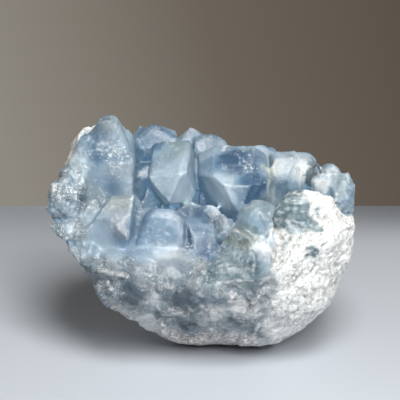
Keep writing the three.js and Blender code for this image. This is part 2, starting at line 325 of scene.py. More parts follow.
# The crust covers the rock where it is met within this distance, and there the rock stands out by
# BEDDED millimetres, so that no gap shows between them.
NEAR_CRUST = 1.6 * MM
BEDDED = 0.45


def swells(p, parts):
    """Smooth noise as the sum of its parts, each a height and a length."""
    return sum(height * noise.noise(p / length) for height, length in parts)


def shard(point, size):
    """How far a break stands out: flat facets of about one size, each tilted its own way."""
    middle = noise.voronoi(point / size)[1][0]
    # The two factors only make a facet's tilt and its step differ from each other.
    tilt = noise.cell_vector(middle * 7.31) - Vector((0.5, 0.5, 0.5))
    step = noise.cell(middle * 3.7) - 0.5
    return (point / size - middle).dot(tilt) + 0.12 * step


def groove(p, across, along):
    """1 in the middle of a groove and 0 beside it. The grooves run up to the right."""
    bent = p + noise.noise_vector(p / 9) * 3
    run = Vector(((bent.x + bent.z) / along, bent.y / (across * 2), (bent.z - bent.x) / across))
    return max(0, 1 - abs(noise.noise(run)) / 0.16)


def under_crust(v):
    """Whether the crust lies on the rock at a vertex."""
    start = v.co - v.normal * 0.2 * MM
    return crust_tree.ray_cast(start, v.normal, NEAR_CRUST)[0] is not None


moves = []
for v in matrix_bm.verts:
    p = v.co / MM
    n = v.normal
    covered = under_crust(v)
    wobble = swells(p, WOBBLE)
    under_front = ease(0.05, 0.35, -n.y * 0.9 - n.z * 0.35) * within(p, ROCK_BORDERS["front"])

    # The zones, by where they lie, with ragged borders.
    chalk = within(p, ROCK_BORDERS["chalk"], wobble)
    broken = under_front * within(p, ROCK_BORDERS["broken"], wobble)
    massive = within(p, ROCK_BORDERS["massive"], wobble)
    rind = within(p, ROCK_BORDERS["rind"])
    lowest = within(p, ROCK_BORDERS["lowest"], wobble) * (1 - chalk)
    glassy = near_any(p, GLASSY, 0.8)
    grains = max(near_any(p, GRAINS, 0.9), 0.5 * ease(3, 12, p.x)) * broken

    # The relief, in millimetres: lumps, grooves and pits in the chalk, and facets on the breaks. The
    # belly bulges over the broken underside, and all relief ends at the face that the rock rests on.
    lump = swells(p, CHALK_LUMPS)
    patchy = ease(-0.25, 0.2, noise.noise(p / 6.5 + Vector((9, 4, 2))))
    cut = max(groove(p, *BROAD_GROOVES) * patchy, 0.7 * groove(p, *FINE_GROOVES))
    pitted = ease(-0.1, 0.25, noise.noise(p / 4.5))
    pit = max(0, 1 - noise.voronoi(p / PITS["apart"])[0][0] / PITS["width"]) * pitted
    chalky = lump - cut - 1.1 * pit
    worn = 1.4 * lump + 0.6 * abs(noise.noise(p / 1.7)) - 0.8 * pit + 1.3 * shard(p, 9)
    shards = (2.2 + 1.6 * ease(-28, -12, p.x)) * shard(p, 8.5) + 1.3 * shard(p, 3.4)
    lumpy = swells(p, MASSIVE_LUMPS) + 0.9 * shard(p, 6)
    raised = chalky * chalk + worn * (1 - chalk)
    raised += (shards - raised) * broken
    raised += (lumpy - raised) * massive * (1 - broken)
    raised += (0.9 * lumpy - raised) * rind
    raised += 2.2 * under_front * within(p, ROCK_BORDERS["belly"])
    raised *= ease(0.2, 12, p.z)
    if covered:
        raised = BEDDED

    # How far a vertex lies down a groove or pit. The colours paint shade there.
    hollow = min(1, cut * 0.8 + pit)
    shares = (chalk, broken, massive, rind, glassy, float(covered), hollow, grains, lowest)
    for name, share in zip(ZONES, shares):
        v[zones[name]] = share
    moves.append(v.co + (n * raised + wander(p) + shifted(p, BULGES)) * MM)
for v, place in zip(matrix_bm.verts, moves):
    v.co = place
    v.co.z = max(v.co.z, 0)
for f in matrix_bm.faces:
    f.smooth = True

stone, tree, shader, add = finished("massive_celestite")
on_piece = add("TexCoord").outputs["Object"]


# The functions below add their nodes to the material that was begun last.
def zone(name, output="Fac"):
    """A zone of the surface, as a value from 0 to 1 or as a colour."""
    return add("Attribute", attribute_name=name).outputs[output]


def grain(scale, detail, rough=0.6, stretch=None):
    """Noise over the piece, as a value from 0 to 1. The scale is in grains per metre."""
    source = on_piece
    if stretch:
        turn, scales = stretch
        source = add("Mapping", {"Vector": on_piece, "Rotation": turn, "Scale": scales}).outputs["Vector"]
    values = {"Vector": source, "Scale": scale, "Detail": detail, "Roughness": rough}
    return add("TexNoise", values).outputs["Fac"]


def ramp(value, stops):
    """A colour or grey ramp with the given stops."""
    node = add("ValToRGB", {"Fac": value})
    elements = node.color_ramp.elements
    while len(elements) < len(stops):
        elements.new(0.5)
    for element, (at, colour) in zip(elements, stops):
        element.position = at
        element.color = (*colour, 1) if isinstance(colour, tuple) else (colour, colour, colour, 1)
    return node.outputs["Color"]


def blend(factor, a, b, kind="MIX"):
    """The colour a with a share of the colour b laid over it."""
    a, b = ((*colour, 1) if isinstance(colour, tuple) else colour for colour in (a, b))
    return add("Mix", {0: factor, 6: a, 7: b}, data_type="RGBA", blend_type=kind).outputs[2]


def maths(operation, a, b=0.0, clamp=False):
    """One step of arithmetic on a value or two."""
    return add("Math", {0: a, 1: b}, operation=operation, use_clamp=clamp).outputs[0]


def times(a, b, clamp=False):
    """The product of two values."""
    return maths("MULTIPLY", a, b, clamp)


def bumped(height, strength, depth, under=None):
    """A bump of the given depth in millimetres, over the surface or over the bump under it."""
    values = {"Height": height, "Strength": strength, "Distance": depth * MM}
    if under is not None:
        values["Normal"] = under
    return add("Bump", values).outputs["Normal"]


UP_RIGHT = ((0.0, math.radians(45), 0.0), (0.22, 0.6, 1.0))
# Dirt in the chalk's seams, and also painted shade in the grooves and pits.
DIRT_AND_PAINTED_SHADE = (0.24, 0.24, 0.22)
patches = grain(75, 5, 0.6)
streaks = grain(620, 5, 0.7, UP_RIGHT)
speckle = ramp(grain(1100, 3, 0.75), [(0.40, 0.0), (0.60, 1.0)])
sparks = ramp(grain(1500, 2, 0.8), [(0.56, 0.0), (0.66, 1.0)])
clusters = ramp(grain(150, 4, 0.7), [(0.54, 0.0), (0.66, 1.0)])
sparkle = times(sparks, clusters)

# The worn skin, all over the back, with grey and dark patches.
skin_colour = blend(speckle, (0.46, 0.46, 0.44), (0.80, 0.80, 0.77))
skin_colour = blend(ramp(patches, [(0.44, 0.0), (0.6, 0.8)]), skin_colour, (0.50, 0.48, 0.43))
skin_colour = blend(ramp(grain(52, 5, 0.65), [(0.50, 0.0), (0.60, 0.8)]), skin_colour, (0.30, 0.34, 0.36))
# Painted shade darkens the skin's grooves and pits.
skin_colour = blend(times(zone("hollow"), 0.6), skin_colour, DIRT_AND_PAINTED_SHADE)

# The chalk of the lobe, streaked, with dirt in its seams and dots, and painted shade in its grooves and pits.
chalk_tones = [(0.30, (0.58, 0.60, 0.59)), (0.42, (0.82, 0.83, 0.82)), (0.54, (0.91, 0.92, 0.92))]
chalk_colour = ramp(streaks, chalk_tones)
seam = maths("ABSOLUTE", maths("SUBTRACT", grain(240, 6, 0.72), 0.5))
seams = times(ramp(seam, [(0.004, 1.0), (0.022, 0.0)]), ramp(grain(140, 3), [(0.44, 0.1), (0.58, 0.85)]))
chalk_colour = blend(seams, chalk_colour, DIRT_AND_PAINTED_SHADE)
dots = ramp(grain(1000, 2, 0.7), [(0.55, 0.0), (0.62, 0.9)])
dotted = ramp(grain(110, 3), [(0.40, 0.25), (0.55, 1.0)])
chalk_colour = blend(times(dots, dotted), chalk_colour, (0.36, 0.36, 0.32))
# Painted shade darkens the chalk's grooves and pits.
chalk_colour = blend(times(zone("hollow"), 0.85), chalk_colour, (0.30, 0.31, 0.30))
glassy_tones = [(0.34, (0.09, 0.14, 0.17)), (0.5, (0.13, 0.185, 0.21)), (0.64, (0.38, 0.45, 0.48))]
glassy_colour = ramp(streaks, glassy_tones)

# The fresh break: dark glassy facets with sparks, and crowds of white grains.
broken_tones = [(0.37, (0.065, 0.095, 0.12)), (0.5, (0.20, 0.25, 0.285)), (0.61, (0.54, 0.56, 0.57))]
broken_colour = blend(sparkle, ramp(patches, broken_tones), (0.90, 0.91, 0.92))
grain_tones = [(0.38, (0.22, 0.23, 0.24)), (0.5, (0.46, 0.45, 0.45)), (0.6, (0.78, 0.78, 0.78))]
crowds = ramp(maths("ADD", times(zone("grains"), 0.17), grain(330, 5, 0.75)), [(0.56, 0.0), (0.80, 1.0)])
broken_colour = blend(crowds, broken_colour, ramp(grain(800, 2, 0.8), grain_tones))
gritty_tones = [(0.37, (0.22, 0.21, 0.205)), (0.5, (0.54, 0.515, 0.50)), (0.61, (0.93, 0.91, 0.89))]
gritty_colour = ramp(grain(900, 3, 0.8), gritty_tones)

# The massive mineral between the break and the crystals, the rind at the left, and the crystals' bed.
massive_tones = [(0.36, (0.13, 0.18, 0.22)), (0.5, (0.24, 0.28, 0.31)), (0.64, (0.36, 0.38, 0.39))]
massive_shade = ramp(grain(560, 5, 0.8), [(0.38, 0.35), (0.5, 0.85), (0.6, 1.0)])
massive_colour = blend(0.85, ramp(grain(140, 5, 0.65), massive_tones), massive_shade, "MULTIPLY")
massive_colour = blend(sparkle, massive_colour, (0.85, 0.86, 0.87))
rind_tones = [(0.34, (0.40, 0.46, 0.49)), (0.46, (0.68, 0.71, 0.70)), (0.58, (0.88, 0.87, 0.84))]
rind_colour = ramp(grain(190, 5, 0.65), rind_tones)
bed_tones = [(0.36, (0.10, 0.17, 0.25)), (0.5, (0.22, 0.31, 0.39)), (0.66, (0.46, 0.52, 0.55))]
bed_colour = ramp(grain(130, 5, 0.6), bed_tones)

colour = blend(zone("chalk"), skin_colour, chalk_colour)
for name, zone_colour in (
    ("rind", rind_colour), ("massive", massive_colour), ("broken", broken_colour),
    ("lowest", gritty_colour), ("glassy", glassy_colour), ("covered", bed_colour),
):
    colour = blend(zone(name), colour, zone_colour)
tree.links.new(colour, shader.inputs["Base Color"])

# The chalk and the skin are dull, and the other zones shinier.
dull = (0.85, 0.85, 0.85)
for name, roughness in (("broken", 0.30), ("massive", 0.40), ("rind", 0.50), ("glassy", 0.30)):
    dull = blend(zone(name), dull, (roughness, roughness, roughness))
tree.links.new(dull, shader.inputs["Roughness"])
gritty = times(grain(1300, 4, 0.75), maths("SUBTRACT", 1.0, times(zone("broken"), 0.4)))
bump = bumped(gritty, 0.5, 0.3)
furrows = times(streaks, maths("ADD", 0.15, times(zone("chalk"), 0.85)))
tree.links.new(bumped(furrows, 0.55, 0.7, bump), shader.inputs["Normal"])
shader.inputs["Subsurface Weight"].default_value = 0.2
shader.inputs["Subsurface Radius"].default_value = (1.0, 1.0, 1.0)
shader.inputs["Subsurface Scale"].default_value = 2 * MM

matrix_piece = new_piece("matrix_rock", matrix_bm, stone)
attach(matrix_piece, "root")
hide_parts("matrix")

# ---- Crystals ----
# Blocky celestite crystals, milky pale blue, grown into one crust on the matrix. Their edges are
# worn white, their faces are never quite flat, and young crystals fill the gaps between them.

# How high a crystal block's end reaches, where the block is 1 wide.
BLOCK_TOP = 0.8


def crystal_block(slopes, ridge):
    """A square prism of unit size with a chisel-shaped end, its foot a little below zero."""
    bm = bmesh.new()
    bmesh.ops.create_cube(bm, size=1, matrix=Matrix.Translation((0, 0, BLOCK_TOP - 0.5)))
    for axis in range(2):
        slope = math.radians(slopes[axis])
        for side in (-1, 1):
            normal = Vector((0, 0, math.cos(slope)))
            normal[axis] = side * math.sin(slope)
            on_edge = Vector((0, 0, BLOCK_TOP))
            on_edge[axis] = side * ridge[axis] / 2
            geom = bm.verts[:] + bm.edges[:] + bm.faces[:]
            cut = bmesh.ops.bisect_plane(bm, geom=geom, plane_co=on_edge, plane_no=normal, clear_outer=True)
            edges = [g for g in cut["geom_cut"] if isinstance(g, bmesh.types.BMEdge)]
            bmesh.ops.edgenet_fill(bm, edges=edges)
    bmesh.ops.recalc_face_normals(bm, faces=bm.faces)
    mesh = bpy.data.meshes.new("crystal_block")
    bm.to_mesh(mesh)
    bm.free()
    return mesh


# Each block: the slopes of its end in degrees, and how far its ridge runs, both along x and y.
BLOCKS = [
    crystal_block(slopes, ridge)
    for slopes, ridge in [
        ((48, 42), (0.0, 0.3)),
        ((38, 52), (0.3, 0.1)),
        ((30, 58), (0.5, 0.3)),
        ((55, 35), (0.15, 0.5)),
    ]
]
# How much a young crystal leans upwards, and how far its lean may stray.
LIFT = 0.35
STRAY = 0.5


def put_block(bm, block, place):
    """Adds a crystal block to the bmesh at a place, which is a matrix."""
    first = len(bm.verts)
    bm.from_mesh(block)
    bm.verts.ensure_lookup_table()
    bmesh.ops.transform(bm, matrix=place, verts=bm.verts[first:])


def scatter(bm, surface, wanted, count, width, seed, sunk=0.3, tall=(1.0, 1.8)):
    """Sets young crystals on the wanted faces of a mesh, leaning out from the surface and upwards."""
    draw = random.Random(seed)
    faces = [f for f in surface.faces if wanted(f.calc_center_median() / MM, f.normal)]
    areas = [f.calc_area() for f in faces]
    for face in draw.choices(faces, areas, k=count):
        shares = sorted((draw.random(), draw.random()))
        a, b, c = (v.co for v in face.verts[:3])
        foot = a * shares[0] + b * (shares[1] - shares[0]) + c * (1 - shares[1])
        shake = Vector((draw.uniform(-1, 1), draw.uniform(-1, 1), draw.uniform(-1, 1))) * STRAY
        along = (face.normal + Vector((0, 0, LIFT)) + shake).normalized()
        w = draw.uniform(*width) * draw.uniform(0.6, 1.0) * MM
        size = Vector((w, w * draw.uniform(0.6, 1.0), w * draw.uniform(*tall)))
        turn = along.to_track_quat("Z", "Y") @ Quaternion((0, 0, 1), draw.uniform(0, math.tau))
        block = draw.choice(BLOCKS)
        put_block(bm, block, Matrix.LocRotScale(foot - along * size.z * sunk, turn, size))


def matrix_gap(point):
    """The distance from a point, in millimetres, to the matrix."""
    return matrix_tree.find_nearest(point * MM)[3] / MM


def in_hollow(p, n):
    """The crust's slopes over the rock, without the broken front and the left wall."""
    return n.z > 0.15 and matrix_gap(p) < 8 and p.y > -30 and p.x > -38


def on_either_end(p, n):
    """The left lobe and the top of the right end."""
    return (p.x < -38 and p.y < 2 and 40 < p.z < 68) or (p.x > 38 and p.z > 48)


def on_back_wall(p, n):
    """The slopes at the back of the hollow."""
    return n.z > 0.2 and p.y > 5


# The skin's fineness, and the number of faces below which a loose bit of it is dropped.
VOXEL = 0.65 * MM
CRUMB = 200


def fused(bm):
    """The bmesh's overlapping solids grown into one skin, without loose crumbs, as a new bmesh."""
    mesh = bpy.data.meshes.new("growth")
    bm.to_mesh(mesh)
    bm.free()
    growth = bpy.data.objects.new("growth", mesh)
    scene.collection.objects.link(growth)
    together = growth.modifiers.new("together", "REMESH")
    together.mode = "VOXEL"
    together.voxel_size = VOXEL
    skin = bmesh.new()
    skin.from_object(growth, bpy.context.evaluated_depsgraph_get())
    bpy.data.objects.remove(growth)
    bpy.data.meshes.remove(mesh)
    unseen = set(skin.faces)
    while unseen:
        part = {unseen.pop()}
        front = list(part)
        while front:
            beside = {other for edge in front.pop().edges for other in edge.link_faces} & unseen
            unseen -= beside
            part |= beside
            front.extend(beside)
        if len(part) < CRUMB:
            bmesh.ops.delete(skin, geom=list(part), context="FACES")
    return skin


bmesh.ops.triangulate(crust_solid, faces=crust_solid.faces)
growing = crust_solid.copy()
scatter(growing, crust_solid, in_hollow, 70, (2.0, 4.5), seed=11)
scatter(growing, crust_solid, on_either_end, 34, (3.5, 7.5), seed=12, sunk=0.42, tall=(0.8, 1.2))
scatter(growing, crust_solid, on_back_wall, 40, (1.8, 4.0), seed=15, sunk=0.42, tall=(0.7, 1.2))

# Milky massive mineral wells up between the front crystals and over the rim: middles and radii.
BAND = [
    ((-35, -18.5, 38), (7, 9, 6)), ((-28, -22, 37), (8, 10.5, 7)), ((-20, -24.5, 36), (9, 10.5, 8)),
    ((-11, -25.5, 34.5), (9.5, 10.5, 8.5)), ((-2, -26, 33), (9.5, 10.5, 8.5)), ((6, -27, 32.5), (9, 10, 8.5)),
    ((14, -28, 34), (7.5, 9, 7.5)), ((-16, -19, 39.5), (9, 8, 5.5)), ((-6, -19.5, 38.5), (8, 7.5, 5)),
    ((-25, -18.5, 40), (7, 7, 5.5)), ((-9, -30, 38), (2.6, 2.6, 2.6)), ((8, -28, 37), (10, 8, 7)),
    ((16, -26.5, 40.5), (5.5, 6, 7)), ((17, -28.5, 37), (6, 7.5, 6)),
]
# The rind's shoulder over the left lobe, rough and rounded.
SHOULDER = [
    ((-40.5, -3.5, 74.5), (4.5, 5, 8)), ((-43.5, -5, 67), (4, 5, 5.5)), ((-46, -5, 62), (5, 6, 6)),
    ((-49.5, -9, 57.5), (4.5, 6, 5)),
]
for middle, radii in BAND + SHOULDER:
    swell = Matrix.LocRotScale(Vector(middle) * MM, None, Vector(radii) * MM)
    bmesh.ops.create_icosphere(growing, subdivisions=3, radius=1, matrix=swell)

# Lesser crystals between the large ones: foot, direction, width, depth and length, and colour.
LESSER = [
    ((-19, 6, 47), (0.06, -0.15, 1), (8.5, 7, 18), (0.42, 0.56, 0.66)),
    ((-22.5, 0, 47), (-0.1, -0.2, 1), (4.5, 4.5, 12), (0.46, 0.60, 0.70)),
    ((-14.5, 3, 47), (0.2, -0.3, 1), (4.5, 4, 10), (0.36, 0.50, 0.62)),
    ((9, -9, 46), (0.1, -0.5, 1), (4, 4, 7), (0.62, 0.70, 0.76)),
    ((40.2, 2.8, 60.3), (0.12, -0.2, 1), (6, 5.5, 8.5), (0.035, 0.045, 0.03)),
    ((42.2, -0.5, 56.8), (0.1, -0.4, 1), (6, 4.5, 7), (1.0, 1.0, 0.95)),
    ((46, 2, 56), (-0.25, -0.2, 1), (4.5, 5, 9), (0.50, 0.60, 0.68)),
    ((35, 6.5, 58.5), (-0.05, -0.25, 1), (7, 5, 9.5), (1.0, 1.0, 0.96)),
    ((-1, -17.5, 40), (-0.1, 0.75, 1), (12.5, 10, 21), (0.24, 0.38, 0.54)),
    ((4, -19, 37), (0.2, -0.75, 1), (12, 7, 9), (0.25, 0.36, 0.50)),
    ((-22.5, -13, 40), (0, -0.2, 1), (6, 6, 13), (0.50, 0.63, 0.74)),
    ((-26, -25, 49), (-0.5, -0.3, 1), (5, 2.5, 7), (0.88, 0.92, 0.94)),
    ((24, 7.8, 52), (0, -0.1, 1), (4, 5, 16), (0.74, 0.74, 0.58)),
    ((0, 8, 44), (0, 0, 1), (5, 5, 20), (0.32, 0.46, 0.60)),
    ((13.5, -22.5, 43), (0.1, -0.45, 0.95), (10.5, 8, 10.5), (0.18, 0.21, 0.135)),
    ((6.5, -9, 42), (0.15, -0.2, 1), (8, 8, 12.5), (0.56, 0.65, 0.73)),
    ((20, -27, 41.5), (-0.3, -0.3, 1), (7, 4, 7), (0.80, 0.82, 0.83)),
    ((22.5, -23.5, 44), (0.2, -0.4, 1), (5.5, 5, 8), (0.62, 0.72, 0.78)),
    ((1.5, -26.5, 40), (0.3, -0.5, 1), (5, 4, 6), (0.10, 0.22, 0.42)),
]
# Each is turned this many degrees more than the last.
TURN_STEP = 35
toned = []
for number, (foot, direction, size, tone) in enumerate(LESSER):
    twist = Quaternion((0, 0, 1), math.radians(TURN_STEP * number))
    turn = Vector(direction).to_track_quat("Z", "Y") @ twist
    place = Matrix.LocRotScale(Vector(foot) * MM, turn, Vector(size) * MM)
    put_block(growing, BLOCKS[number % len(BLOCKS)], place)
    toned.append((place.inverted(), Vector(tone)))

# The rounded dome beside the chalky lobe.
DOME = {"at": (19.5, -17, 50.5), "size": (15.5, 14.5, 16.5)}
dome = Matrix.LocRotScale(Vector(DOME["at"]) * MM, None, Vector(DOME["size"]) * MM)
bmesh.ops.create_icosphere(growing, subdivisions=4, radius=0.5, matrix=dome)

crust_bm = fused(growing)
bmesh.ops.triangulate(crust_bm, faces=crust_bm.faces)
smooth(crust_bm, crust_bm.verts)

# The tall crystal, the milky tongue on the front rim, and the ridged mineral under the dome.
TALL_CRYSTAL = (-32, -2, 76)
TONGUE = [(-17, -21, 40.5), (-11, -26, 39)]
UNDER_DOME = (10, -34, 37)

# Crystals that are worn round: the middle of each, how far it reaches, and how often it is smoothed.
WORN_ROUND = [
    (TALL_CRYSTAL, 17, 18), ((-46, -14, 56), 13, 4), ((20, -16, 55), 8, 3),
    ((5.5, -1.8, 51.7), 3.5, 14), ((-23.3, 22, 75), 3.5, 14),
]
WORN_ROUND += [(middle, 9, 4) for middle, radii in BAND]
for middle, reach, rounds in WORN_ROUND:
    smooth(crust_bm, [v for v in crust_bm.verts if (v.co / MM - Vector(middle)).length < reach], rounds)
crust_bm.normal_update()

# Crystals that differ from the rest, and a few places of painted light and shade: a place, how far the colour
# reaches, and the colour.
TINTS = [
    ((-36, -7, 75), 7, (0.36, 0.56, 0.72)),
    ((-29, -21, 60), 6, (0.62, 0.65, 0.56)),
    ((-10, -5, 62), 13, (0.74, 0.89, 0.97)),
    ((-20, 14, 70), 9, (0.09, 0.26, 0.43)),
    ((4, 21, 70), 7, (0.24, 0.35, 0.45)),
    ((29, 6, 56), 6, (0.40, 0.46, 0.43)),
    ((13, 5, 67), 5, (0.18, 0.35, 0.56)),
    # These two tints paint light and shade: the darker one is painted shade on the crystal's top, which the
    # lamps light, and the paler one is painted light on a facet below it that faces away from them.
    ((5, 2, 66), 5, (0.22, 0.37, 0.53)),
    ((5, -3, 56), 7, (0.76, 0.89, 0.97)),
    ((20, -4, 60), 8, (0.10, 0.28, 0.52)),
    ((24, 14, 61), 5, (0.80, 0.80, 0.64)),
    ((30, 8, 63), 5, (0.66, 0.72, 0.74)),
    ((37, 8, 64), 5, (0.95, 0.97, 0.97)),
    ((41, 6, 65), 4.5, (0.15, 0.17, 0.14)),
    ((14, -26, 47), 4.5, (0.19, 0.225, 0.145)),
    (TONGUE[0], 5, (0.70, 0.70, 0.69)),
    (TONGUE[1], 6, (0.70, 0.70, 0.69)),
    ((-10, 5, 72), 5.5, (0.50, 0.62, 0.60)),
    ((-33, -1, 83), 4, (0.52, 0.60, 0.55)),
    ((-37, -12, 56), 6, (0.56, 0.62, 0.58)),
    # This darker tint is painted shade that dims a bright spot of light on the left lobe.
    ((-45.5, -21, 50), 4, (0.36, 0.46, 0.54)),
    ((-29.5, -6, 73.5), 5.5, (0.30, 0.46, 0.60)),
    ((21.5, -25.5, 46.8), 1.8, (0.18, 0.22, 0.24)),
    ((2, -14, 39), 4.5, (0.26, 0.38, 0.56)),
    ((-36, -22, 50), 8, (0.60, 0.73, 0.79)),
    ((9, -34, 38), 13, (0.10, 0.17, 0.17)),
    ((-43, -2, 70), 6, (0.86, 0.90, 0.89)),
    ((-27, -25, 53), 4, (0.90, 0.94, 0.95)),
    ((45, 1, 61), 4, (0.92, 0.94, 0.92)),
    ((-18, -22, 50), 9, (0.34, 0.53, 0.71)),
    ((-41, 0, 76), 4, (0.88, 0.90, 0.88)),
    ((-41, -2, 71), 4, (0.88, 0.90, 0.88)),
    ((-44, -5, 66), 3.5, (0.36, 0.48, 0.58)),
    ((-19, 4, 58), 7, (0.46, 0.56, 0.60)),
    ((42, 3, 59.4), 3, (1.0, 1.0, 0.97)),
    ((20.5, -28, 44), 3.5, (0.86, 0.88, 0.88)),
    ((19, -18, 55), 6, (0.36, 0.45, 0.43)),
    ((18, -23, 50), 4.5, (0.42, 0.56, 0.68)),
    ((-4.7, 24, 75), 2.5, (0.42, 0.36, 0.62)),
    ((-48, -14, 52), 7, (0.34, 0.44, 0.54)),
]
# The crystals' own blue drifts from pale to deep in some places and to grey in others.
PALE_BLUE = Vector((0.45, 0.60, 0.71))
DEEP_BLUE = Vector((0.31, 0.47, 0.62))
GREY_BLUE = Vector((0.52, 0.63, 0.68))
# A crystal's colour reaches a little past its block, in shares of the block's size.
REACH = {"side": 0.57, "foot": -0.3, "top": 0.88}
# Where white abrasion and sugary young growth crowd: a place and how far it reaches.
FROSTED = [
    ((-29.5, -6.3, 73.6), 6.5), ((-36, 0, 83), 4), ((-35.6, -9.6, 55.4), 4.5), ((-44.4, -13.8, 62), 5),
    ((-45, -21, 49), 4), ((17.2, 2.3, 66), 5), ((6.4, -7.6, 50.3), 4.5), ((36, 8, 66), 6),
    ((-14.4, -8.8, 37), 3), ((-5, -22, 41.7), 3), ((-42, -1, 74), 5), ((44, 1, 62), 4), ((-27, -25, 53), 5),
    ((42, 3, 59.4), 3.5), ((-48, -14, 62), 5), ((20, -26.5, 45.5), 4), ((8, -10, 51), 5), ((24, -21, 53), 4),
    ((36, 5, 63), 4), ((-41, -4, 74), 6), ((-43.5, -5, 68), 5),
]
# Where the mineral is clear and the dark behind it shows through.
CLEAR = [
    ((-36, -2, 80), 9), ((-37, -6, 73), 5), ((-20, 14, 71), 9), ((13, 4, 67), 8), ((20, -4, 60), 8),
    ((41, 7, 66), 4), ((0, -8, 50), 6), ((-17, 9, 62), 8), ((28, 6, 57), 5),
]
# Where the mineral is milky all through.
MILKY = [
    # The first place also lifts a facet that is turned from the lamps, as painted light.
    ((5, -3, 56), 8), ((36, 5, 63), 4.5), ((-18, -20, 40.5), 5), ((-12, -25, 39), 6),
    ((20, -26.5, 46), 4), ((43, 0, 59.5), 4),
]
# Where the crystals bend or lean off their blocks: a place, a reach and a shift.
BENDS = [
    ((-21, -6, 60), 9, (-3.0, 0, 0)),
    ((-21, -2, 79), 7, (-3.0, 0, -1.2)),
    ((-41, -2, 82), 6, (1.5, 0, -2.5)),
    ((-21, -24, 42), 7, (-2.2, 0, 0)),
]
# Where the crust's own zones lie, by their borders along the axes.
CRUST_BORDERS = {
    "front": [("y", -15, -20, 0)],
    "low_left": [("z", 43, 40.5, 2), ("x", 4, -2, 3)],
    "low": [("z", 34, 31, 0)],
    "underside": [("z", 34, 29, 2)],
    "left_end": [("x", -37, -42, 0), ("z", 76, 66, 0)],
    "right_end": [("x", 44.5, 49, 0)],
}
# Swells of the faces and of how far the edges are worn: a height and a length for each.
UNEVEN = [(0.22, 5.0), (0.07, 1.9)]
WEAR = [(1, 1.6), (0.5, 6.0)]
# The furrows between the ridges under the dome: how far apart they are and how long.
RIDGES = (3.4, 60)
# Where faces are broken into facets: a place, the border's inner and outer edge, and the facets'
# depth and size.
FACETED = [
    (DOME["at"], 8, 11, 1.4, 5),
    (UNDER_DOME, 10, 14, 1.6, 6.5),
    ((-15, -24, 42), 6, 9, 1.1, 4),
    (TALL_CRYSTAL, 14, 17, 1.0, 7),
]
layers = crust_bm.verts.layers
tint_layer = layers.float_color.new("tint")
edge_layer, frost_layer, clear_layer, dull_layer, milky_layer, rim_layer, crevice_shade_and_underside_layer = (
    layers.float.new(name) for name in ("edge", "frost", "clear", "dull", "milky", "rim", "crevice_shade_and_underside")
)
skin_tree = BVHTree.FromBMesh(crust_bm)
# A vertex looks out five ways, all round and outwards, for other crystals that are this near.
LOOKS = [Vector((math.cos(a) * 0.75, math.sin(a) * 0.75, 0.66)) for a in (0, 1.26, 2.51, 3.77, 5.03)]
LOOK_FAR = 9 * MM


# The crystals' colour is darkened by painted shade as far as other crystals close a vertex in.
def crevice(v):
    """How much of what lies around a vertex is closed by other crystals."""
    turn = v.normal.to_track_quat("Z", "Y")
    start = v.co + v.normal * 0.3 * MM
    met = [skin_tree.ray_cast(start, turn @ look, LOOK_FAR)[0] is not None for look in LOOKS]
    return sum(met) / len(LOOKS)


def crystal_colour(v, p, drift):
    """A vertex's colour: the drifting blue, the tinted places and the lesser crystals' own colours."""
    colour = PALE_BLUE.lerp(DEEP_BLUE if drift < 0 else GREY_BLUE, min(1, abs(drift) * 2.2))
    for at, reach, tint in TINTS:
        near = math.exp(-((p - Vector(at)).length / reach) ** 4)
        colour = colour.lerp(Vector(tint), near)
    for into_block, tone in toned:
        spot = into_block @ v.co
        if max(abs(spot.x), abs(spot.y)) < REACH["side"] and REACH["foot"] < spot.z < REACH["top"]:
            colour = colour.lerp(tone, 0.85)
    return (*colour, 1)


def sharpness(v):
    """Above zero on an edge and below zero in a groove."""
    bends = [(v.co - e.other_vert(v).co).normalized().dot(v.normal) for e in v.link_edges]
    return sum(bends) / len(bends)


moves = []
for v in crust_bm.verts:
    p = v.co / MM
    drift = noise.noise(p / 7.0)
    v[tint_layer] = crystal_colour(v, p, drift)
    edge = sharpness(v)
    v[edge_layer] = edge
    v[frost_layer] = near_any(p, FROSTED, 0.6)
    v[clear_layer] = near_any(p, CLEAR, 0.3)

    # The front rim is massive mineral, but for the tongue. The worn crystals of both ends are dull.
    front = within(p, CRUST_BORDERS["front"])
    rim = front * max(within(p, CRUST_BORDERS["low_left"], drift), within(p, CRUST_BORDERS["low"]))
    rim *= 1 - 0.7 * max(bell(p, at, 6) for at in TONGUE)
    left = within(p, CRUST_BORDERS["left_end"])
    right = within(p, CRUST_BORDERS["right_end"])
    milky = 0.9 * near_any(p, MILKY, 0.2)
    v[dull_layer] = max(left, 0.8 * right)
    v[rim_layer] = rim
    v[milky_layer] = max(rim, milky)
    # Painted shade where other crystals close a vertex in, but not in the milky parts, and darker on the
    # front underside.
    v[crevice_shade_and_underside_layer] = max(crevice(v) * (1 - milky), within(p, CRUST_BORDERS["underside"], drift) * front)

    # The relief, in millimetres: worn edges, uneven faces, facets and ridges.
    worn = 0.5 * ease(0.08, 0.3, edge) * ease(-0.3, 0.5, swells(p, WEAR))
    uneven = swells(p, UNEVEN)
    weathered = (1.2 * shard(p, 4.6) + 0.45 * shard(p, 2.3)) * max(left, right)
    weathered += (1.3 * shard(p, 5.5) + 0.6 * shard(p, 2.4)) * rim
    for at, inside, outside, depth, size in FACETED:
        weathered += depth * shard(p, size) * ease(outside, inside, (p - Vector(at)).length)
    ridges = 0.35 * groove(p, *RIDGES) * ease(16, 11, (p - Vector(UNDER_DOME)).length)
    stands_out = uneven + weathered - worn - ridges
    moves.append(v.co + (v.normal * stands_out + wander(p) + shifted(p, BENDS)) * MM)
for v, place in zip(crust_bm.verts, moves):
    v.co = place
for f in crust_bm.faces:
    f.smooth = True

crystal, tree, shader, add = finished("celestite")
on_piece = add("TexCoord").outputs["Object"]
MILK = (0.74, 0.84, 0.90)
CLOUD = (0.72, 0.84, 0.90)
WEAR_AND_GLINT_WHITE = (0.86, 0.90, 0.92)
